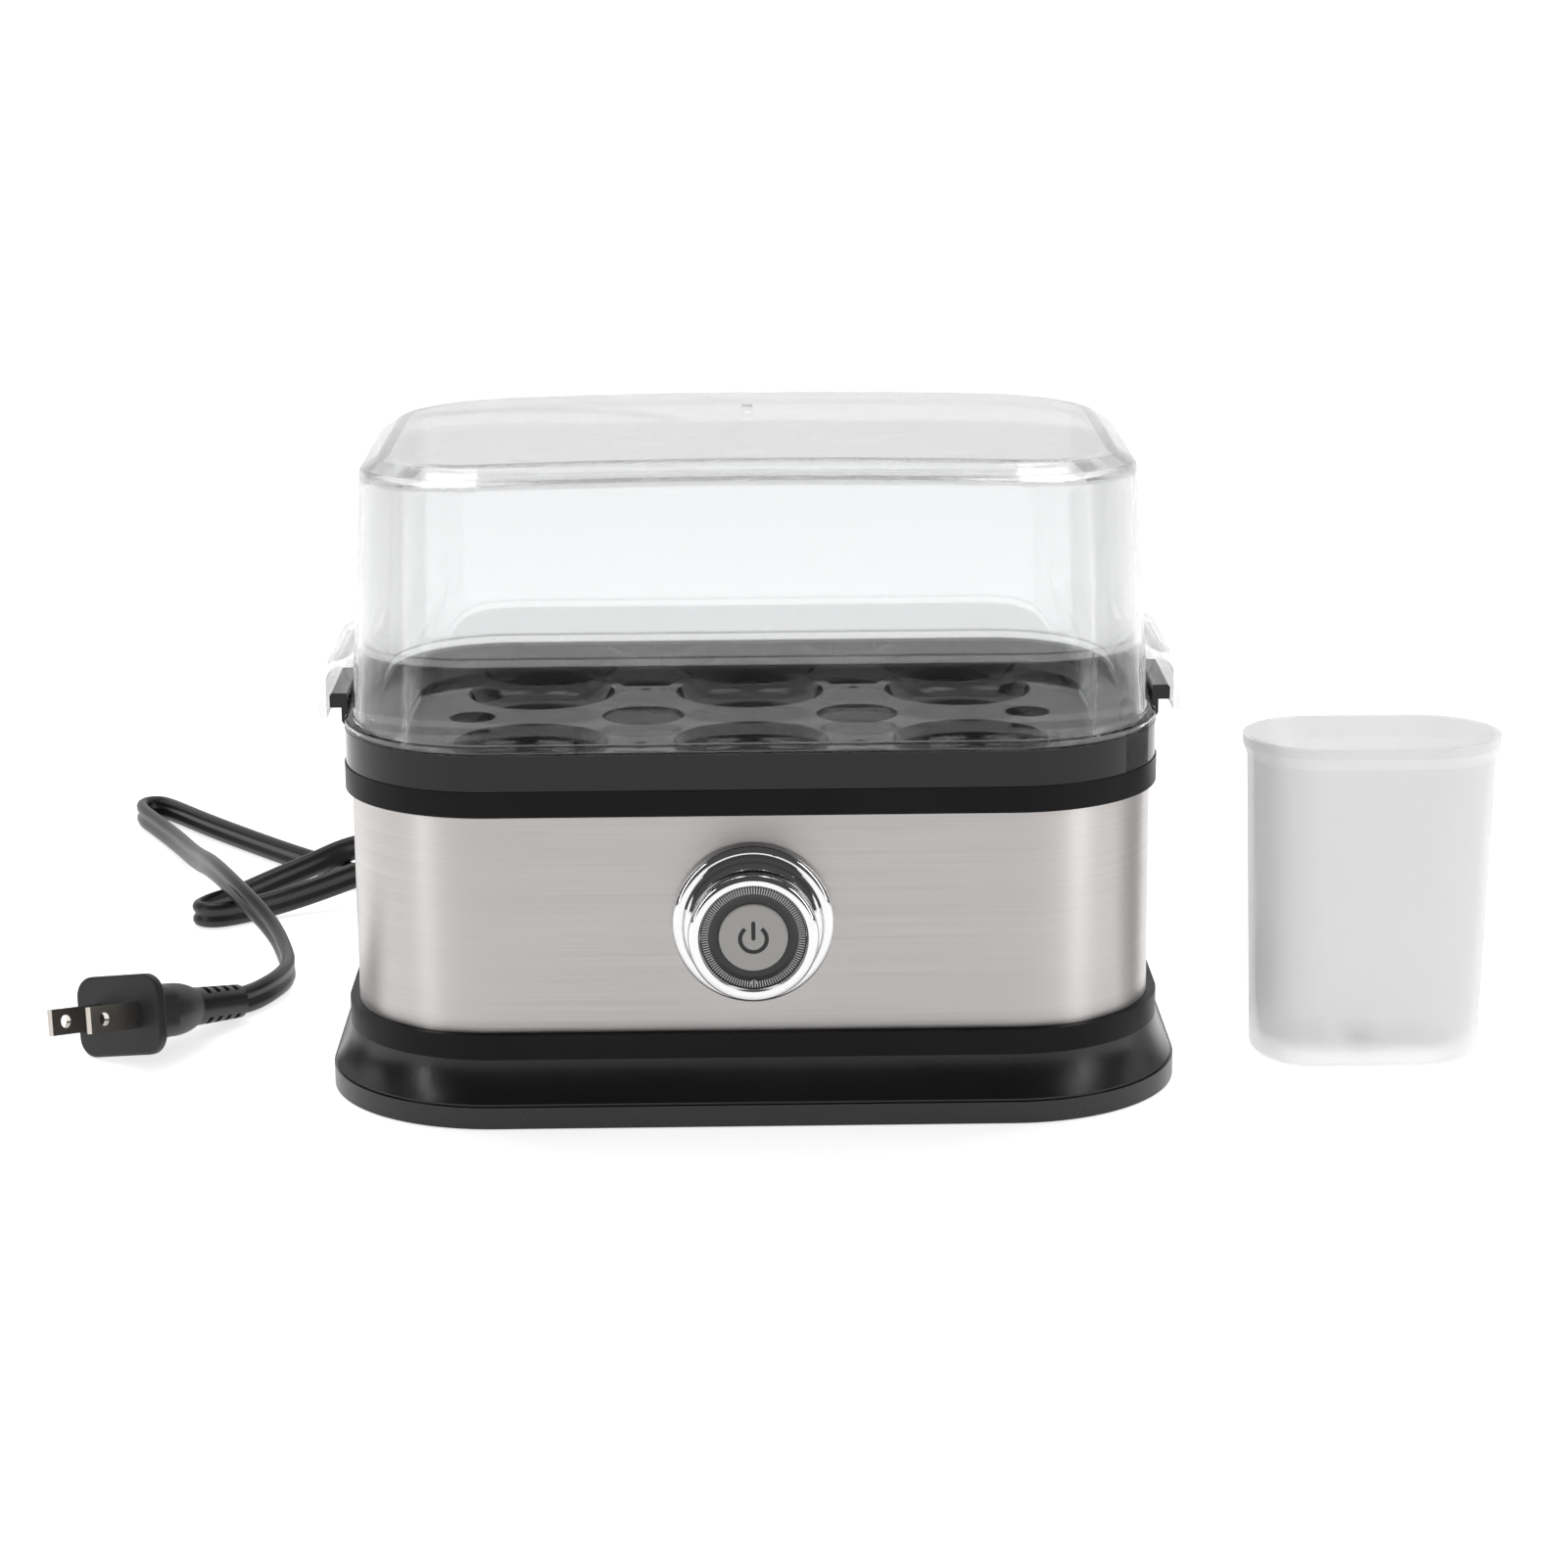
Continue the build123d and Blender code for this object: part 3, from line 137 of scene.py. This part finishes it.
steel = brushed(
    "brushed_band", (0.54, 0.52, 0.51, 1), (0.59, 0.57, 0.56, 1),
    rough_low=0.36, rough_high=0.44, strokes=(14, 14, 5200),
)
pan_metal = brushed(
    "pan_metal", (0.62, 0.62, 0.61, 1), (0.8, 0.8, 0.79, 1),
    rough_low=0.3, rough_high=0.45, strokes=(40, 900, 900),
)
gloss_black = material("gloss_black_plastic", (0.003, 0.003, 0.004), 0.06, Specular_IOR_Level=0.36)
gloss_wear = ramp(gloss_black, noise(gloss_black, 45.0), 0.035, 0.075)
join(gloss_black, gloss_wear, gloss_black.node_tree.nodes["Principled BSDF"].inputs["Roughness"])
satin_black = grained(
    material("satin_black_plastic", (0.007, 0.007, 0.008), 0.3),
    1800, 0.004 * MM, 0.26, 0.34,
)
matt_black = grained(
    material("matt_black_plastic", (0.005, 0.005, 0.006), 0.42, Specular_IOR_Level=0.13),
    2600, 0.01 * MM, 0.34, 0.46,
)
rubber = material("black_rubber", (0.02, 0.02, 0.02), 0.75)
label = material("silver_label", (0.55, 0.55, 0.56), 0.35, 1.0)
heater_steel = material("heater_steel", (0.32, 0.3, 0.28), 0.42, 1.0)
fastener = material("fastener_steel", (0.62, 0.62, 0.63), 0.3, 1.0)
sheet = material("aluminium_sheet", (0.72, 0.72, 0.72), 0.4, 1.0)
chrome = material("chrome", (0.74, 0.74, 0.745), 0.035, 1.0)
dial_metal = grained(
    material("dial_metal", (0.045, 0.045, 0.046), 0.4, 0.5),
    2200, 0.004 * MM, 0.34, 0.44,
)
dial_groove = material("dial_groove", (0.03, 0.03, 0.03), 0.5)
dial_mark = material("dial_mark", (0.4, 0.4, 0.4), 0.35, 0.8)
button_plastic = grained(
    material("button_plastic", (0.37, 0.362, 0.35), 0.35),
    2400, 0.004 * MM, 0.3, 0.4,
)
symbol = material("symbol_paint", (0.01, 0.01, 0.011), 0.5)
CLEAR_TINT = (0.22, 0.22, 0.225, 1)
clear = material(
    "clear_plastic", (0.79, 0.795, 0.8), 0.0,
    IOR=1.49, Transmission_Weight=1.0, Specular_Tint=CLEAR_TINT, Alpha=0.75,
)
pipe_clear = material("light_pipe_plastic", (0.9, 0.9, 0.9), 0.1, IOR=1.49, Transmission_Weight=0.8)
milky = grained(
    material(
        "translucent_plastic", (0.9, 0.903, 0.905), 0.4,
        IOR=1.4, Transmission_Weight=0.4, Alpha=0.64,
    ),
    1500, 0.004 * MM, 0.34, 0.44,
)
silicone = material("seal_silicone", (0.6, 0.6, 0.6), 0.6)
lamp_red = material("lamp_red", (0.5, 0.03, 0.02), 0.2)
terminal = material("terminal_plastic", (0.75, 0.72, 0.62), 0.3)
insulation = material("wire_insulation", (0.7, 0.7, 0.68), 0.5)
nickel = material("nickel", (0.66, 0.62, 0.57), 0.24, 1.0)
cord_plastic = material("cord_plastic", (0.014, 0.014, 0.015), 0.38)
plug_plastic = grained(
    material("plug_plastic", (0.02, 0.02, 0.022), 0.5),
    2200, 0.03 * MM, 0.42, 0.56,
)

LOOKS = {
    "brushed_band": steel,
    "pan_metal": pan_metal,
    "gloss_black_plastic": gloss_black,
    "matt_black_plastic": matt_black,
    "black_rubber": rubber,
    "silver_label": label,
    "heater_steel": heater_steel,
    "fastener_steel": fastener,
    "aluminium_sheet": sheet,
    "chrome": chrome,
    "dial_metal": dial_metal,
    "button_plastic": button_plastic,
    "symbol_paint": symbol,
    "clear_plastic": clear,
    "light_pipe_plastic": pipe_clear,
    "translucent_plastic": milky,
    "seal_silicone": silicone,
    "lamp_red": lamp_red,
    "terminal_plastic": terminal,
    "wire_insulation": insulation,
    "nickel": nickel,
    "cord_plastic": cord_plastic,
    "plug_plastic": plug_plastic,
}
for part in frame["record"]["subparts"]:
    for material_slot in NODES[part["node"]].material_slots:
        material_slot.material = LOOKS[part["material_slot"]]
NODES["base_skirt"].material_slots[0].material = satin_black
NODES["dial_seat"].material_slots[0].material = dial_groove

# ---------------------------------------------------------------- power cord
# The route is the one of the model, in millimetres: its points are listed.
CORD_WIDTH = 7.0 * MM
CORD_THICKNESS = 3.6 * MM
bushing_low, bushing_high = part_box("cord_bushing")
CORD_EXIT = Vector((bushing_low.x + bushing_high.x, 0, bushing_low.z + bushing_high.z)) / 2
CORD_EXIT.y = bushing_high.y
PLUG_FACE = Vector((-153.5, -14.5, 11.45)) * MM
PLUG_TURN = math.radians(35)
PLUG_DIP = math.radians(10)
PLUG_ROLL = math.radians(12)
RELIEF_END = 42.0 * MM
HEADING = Vector((
    math.sin(PLUG_TURN) * math.cos(PLUG_DIP),
    math.cos(PLUG_TURN) * math.cos(PLUG_DIP),
    -math.sin(PLUG_DIP),
))
CORD_END = PLUG_FACE + HEADING * RELIEF_END
CORD_ROUTE = [
    CORD_EXIT,
    Vector((-10, 92, 8.6)) * MM,
    Vector((-10, 104, 5.0)) * MM,
    Vector((-11, 117, 3.5)) * MM,
    Vector((-14.5, 132, 3.5)) * MM,
    Vector((-24, 147, 3.5)) * MM,
    Vector((-41, 157, 3.5)) * MM,
    Vector((-61, 160, 3.5)) * MM,
    Vector((-79, 157, 7.5)) * MM,
    Vector((-95, 150, 11.2)) * MM,
    Vector((-112, 142, 10.9)) * MM,
    Vector((-124, 134, 7.2)) * MM,
    Vector((-134, 125.5, 5.0)) * MM,
    Vector((-142, 116, 3.5)) * MM,
    Vector((-148.5, 108, 3.5)) * MM,
    Vector((-151, 101.5, 3.5)) * MM,
    Vector((-146, 98.5, 3.5)) * MM,
    Vector((-138.5, 102.5, 3.5)) * MM,
    Vector((-128, 111, 4.0)) * MM,
    Vector((-116, 115.5, 7.0)) * MM,
    Vector((-103, 119, 11.2)) * MM,
    Vector((-89, 126, 11.2)) * MM,
    Vector((-72, 134, 6.0)) * MM,
    Vector((-54, 137, 3.5)) * MM,
    Vector((-38, 130, 3.5)) * MM,
    Vector((-34, 114, 3.5)) * MM,
    Vector((-46, 101, 3.5)) * MM,
    Vector((-64, 98, 3.5)) * MM,
    Vector((-82, 106, 3.5)) * MM,
    Vector((-97, 121, 3.5)) * MM,
    Vector((-111, 138, 3.5)) * MM,
    Vector((-128, 155.5, 3.5)) * MM,
    Vector((-145, 176, 3.5)) * MM,
    Vector((-160, 195, 3.5)) * MM,
    Vector((-170, 209, 3.5)) * MM,
    Vector((-177, 217.5, 3.5)) * MM,
    Vector((-182.5, 215, 3.5)) * MM,
    Vector((-181, 207, 3.5)) * MM,
    Vector((-175.5, 196, 3.5)) * MM,
    Vector((-166, 176, 3.5)) * MM,
    Vector((-157, 150, 5.5)) * MM,
    Vector((-149, 122, 11.3)) * MM,
    Vector((-138, 95, 11.3)) * MM,
    Vector((-127, 78, 6.0)) * MM,
    Vector((-121.5, 60, 3.5)) * MM,
    Vector((-119.2, 46, 3.6)) * MM,
    Vector((-121.4, 34, 3.7)) * MM,
    CORD_END + HEADING * 5 * MM,
    CORD_END,
]


def route_curve(name, points):
    """A smooth NURBS curve with the route's points as its control points."""
    curve = bpy.data.curves.new(name, "CURVE")
    curve.dimensions = "3D"
    curve.resolution_u = 8
    spline = curve.splines.new("NURBS")
    spline.points.add(len(points) - 1)
    for target, point in zip(spline.points, points):
        target.co = (*point, 1)
    spline.order_u = 3
    spline.use_endpoint_u = True
    piece = bpy.data.objects.new(name, curve)
    bpy.context.collection.objects.link(piece)
    return piece


def centreline(points):
    """The NURBS route as a list of points, read from an unbevelled curve."""
    guide = route_curve("guide", points)
    bpy.context.view_layer.update()
    mesh = bpy.data.meshes.new_from_object(guide)
    line = [vertex.co.copy() for vertex in mesh.vertices]
    bpy.data.meshes.remove(mesh)
    bpy.data.objects.remove(guide)
    return line


def flat_cord_section():
    """Outline of the two-core cord: two round cores with a groove between; (thin, tall)."""
    core_radius = CORD_THICKNESS / 2
    shift = CORD_WIDTH / 2 - core_radius
    steps = 9
    outline = []
    for sign in (1, -1):
        for step in range(steps + 1):
            angle = math.radians(-52 + 284 * step / steps)
            thin = sign * core_radius * math.cos(angle)
            tall = sign * (shift + core_radius * math.sin(angle))
            outline.append((thin, tall))
    return outline


def smooth_mesh(name, vertices, faces, sharp=35):
    mesh = bpy.data.meshes.new(name)
    mesh.from_pydata([tuple(vertex) for vertex in vertices], [], faces)
    mesh.validate()
    mesh.polygons.foreach_set("use_smooth", [True] * len(mesh.polygons))
    mesh.set_sharp_from_angle(angle=math.radians(sharp))
    piece = bpy.data.objects.new(name, mesh)
    bpy.context.collection.objects.link(piece)
    return piece


def cord_mesh(name, line, edge_at_end):
    """Sweeps the flat section along the line on its edge, and turns it into the plug's roll."""
    section = flat_cord_section()
    count = len(section)
    vertices = []
    faces = []
    total = len(line)
    for index, point in enumerate(line):
        before = line[max(index - 1, 0)]
        after = line[min(index + 1, total - 1)]
        forward = (after - before).normalized()
        side = forward.cross(Vector((0, 0, 1))).normalized()
        tall = side.cross(forward).normalized()
        blend = max(0.0, 1 - (total - 1 - index) / 26)
        turn = Matrix.Rotation(edge_at_end * blend * blend * (3 - 2 * blend), 3, forward)
        side, tall = turn @ side, turn @ tall
        vertices.extend(point + side * thin + tall * high for thin, high in section)
        if index:
            start = (index - 1) * count
            faces.extend(
                (
                    start + k,
                    start + (k + 1) % count,
                    start + count + (k + 1) % count,
                    start + count + k,
                )
                for k in range(count)
            )
    faces.append(tuple(range(count))[::-1])
    faces.append(tuple((total - 1) * count + k for k in range(count)))
    return smooth_mesh(name, vertices, faces, 60)


cord_line = centreline(CORD_ROUTE)
cord = cord_mesh("flat_power_cord", cord_line, PLUG_ROLL)
cord.data.materials.append(cord_plastic)
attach(cord, "base")
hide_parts("power_cord")

# ---------------------------------------------------------------- marks on the dial
TICKS = 120
TICK_WIDTH = 0.22 * MM
TICK_PROUD = 0.06 * MM
TICK_LENGTH = 1.5 * MM
TICK_MARGIN = 0.25 * MM  # bare edge outside the ticks
POINTER_RADIUS = 0.62 * MM
POINTER_LINE = 0.17 * MM
POINTER_MARGIN = 1.45 * MM  # pointer's centre to the dial's edge
dial_low, dial_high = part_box("dial_ring")
DIAL_RADIUS = (dial_high.x - dial_low.x) / 2
DIAL_FRONT = dial_low.y


def on_dial(radius, angle, out):
    """A point on the dial's face: radius and angle about the control's axis."""
    across = radius * math.cos(angle)
    upward = radius * math.sin(angle)
    return Vector((across, DIAL_FRONT - out, CONTROL_Z + upward))


def dial_ticks():
    """Fine radial marks round the dial's outer edge."""
    vertices = []
    faces = []
    outer = DIAL_RADIUS - TICK_MARGIN
    inner = outer - TICK_LENGTH
    for index in range(TICKS):
        angle = 2 * math.pi * (index + 0.5) / TICKS
        start = len(vertices)
        for out in (-TICK_PROUD, TICK_PROUD):
            for radius in (inner, outer):
                half = TICK_WIDTH / 2 / radius
                vertices.append(on_dial(radius, angle - half, out))
                vertices.append(on_dial(radius, angle + half, out))
        for face in ((4, 5, 7, 6), (0, 1, 5, 4), (2, 3, 7, 6), (0, 2, 6, 4), (1, 3, 7, 5)):
            faces.append(tuple(start + corner for corner in face))
    piece = smooth_mesh("dial_ticks", vertices, faces, 20)
    piece.data.materials.append(dial_mark)
    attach(piece, "base")


dial_ticks()
bpy.ops.mesh.primitive_torus_add(
    major_radius=POINTER_RADIUS,
    minor_radius=POINTER_LINE,
    major_segments=40,
    minor_segments=12,
    location=on_dial(DIAL_RADIUS - POINTER_MARGIN, -math.pi / 2, 0),
    rotation=(math.pi / 2, 0, 0),
)
pointer = bpy.context.object
pointer.name = "dial_pointer"
pointer.data.materials.append(dial_mark)
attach(pointer, "base")

# ---------------------------------------------------------------- floor, light and camera
FLOOR_Z = -0.0002
FLOOR_GLOW = 0.72
BACKDROP_GLOW = 1.0
WORLD_GLOW = 0.08


def glowing(name, color, roughness, strength):
    """A stage paint that also shines white."""
    made = material(name, color, roughness)
    shader = made.node_tree.nodes["Principled BSDF"]
    shader.inputs["Emission Color"].default_value = (1, 1, 1, 1)
    shader.inputs["Emission Strength"].default_value = strength
    return made


bpy.ops.mesh.primitive_plane_add(size=40, location=(0, 0, FLOOR_Z))
floor = bpy.context.object
floor.name = "floor"
floor.data.materials.append(glowing("floor_paint", (0.97, 0.97, 0.97), 0.9, FLOOR_GLOW))

bpy.ops.mesh.primitive_plane_add(size=1, location=(0, 2.6, 1.2), rotation=(math.pi / 2, 0, 0))
backdrop = bpy.context.object
backdrop.name = "backdrop"
backdrop.scale = (9, 3.2, 1)
backdrop.data.materials.append(glowing("backdrop_paint", (0, 0, 0), 1.0, BACKDROP_GLOW))

world = bpy.data.worlds.new("studio")
bpy.context.scene.world = world
world.use_nodes = True
world.node_tree.nodes["Background"].inputs["Color"].default_value = (1, 1, 1, 1)
world.node_tree.nodes["Background"].inputs["Strength"].default_value = WORLD_GLOW


def softbox(name, place, target, width, height, power):
    """A rectangular light at a place, turned to a target; metres and watts."""
    lamp = bpy.data.lights.new(name, "AREA")
    lamp.shape = "RECTANGLE"
    lamp.size = width
    lamp.size_y = height
    lamp.energy = power
    holder = bpy.data.objects.new(name, lamp)
    bpy.context.collection.objects.link(holder)
    holder.location = place
    aim = Vector(target) - Vector(place)
    holder.rotation_euler = aim.to_track_quat("-Z", "Y").to_euler()


BAND_MIDDLE = (0, 0, 0.06)
RIM_MIDDLE = (0, 0, 0.08)
softbox("strip_left", (-0.86, -0.56, 0.42), BAND_MIDDLE, width=0.1, height=0.75, power=1.5)
softbox("strip_right", (0.86, -0.56, 0.42), BAND_MIDDLE, width=0.2, height=0.75, power=2.0)
softbox("softbox_left", (-1.5, 0.35, 0.7), RIM_MIDDLE, width=0.6, height=1.0, power=2)
softbox("softbox_right", (1.5, 0.35, 0.7), RIM_MIDDLE, width=0.6, height=1.0, power=2)
softbox("overhead_left", (-0.3, 0.2, 0.85), RIM_MIDDLE, width=0.2, height=0.42, power=1.4)
softbox("overhead_right", (0.3, 0.2, 0.85), RIM_MIDDLE, width=0.2, height=0.42, power=1.4)
softbox("softbox_top", (0, 0.6, 1.4), RIM_MIDDLE, width=1.2, height=0.6, power=2.0)

CAMERA_PLACE = Vector((-2.33, -890.4, 290.5)) * MM
LENS = 87.05
YAW = math.radians(-0.665)
PITCH = math.radians(14.286)
ROLL = math.radians(-0.462)
turn = Matrix.Rotation(YAW, 3, "Z")
right = turn @ Vector((1, 0, 0))
forward = turn @ Vector((0, math.cos(PITCH), -math.sin(PITCH)))
up = right.cross(forward)
rolled_right = right * math.cos(ROLL) + up * math.sin(ROLL)
rolled_up = up * math.cos(ROLL) - right * math.sin(ROLL)
camera_data = bpy.data.cameras.new("camera")
camera_data.lens = LENS
camera_data.sensor_width = 36
camera_data.clip_end = 60
camera = bpy.data.objects.new("camera", camera_data)
bpy.context.collection.objects.link(camera)
axes = Matrix((rolled_right, rolled_up, -forward)).transposed().to_4x4()
camera.matrix_world = Matrix.Translation(CAMERA_PLACE) @ axes
bpy.context.scene.camera = camera
bpy.context.scene.view_settings.view_transform = "Standard"
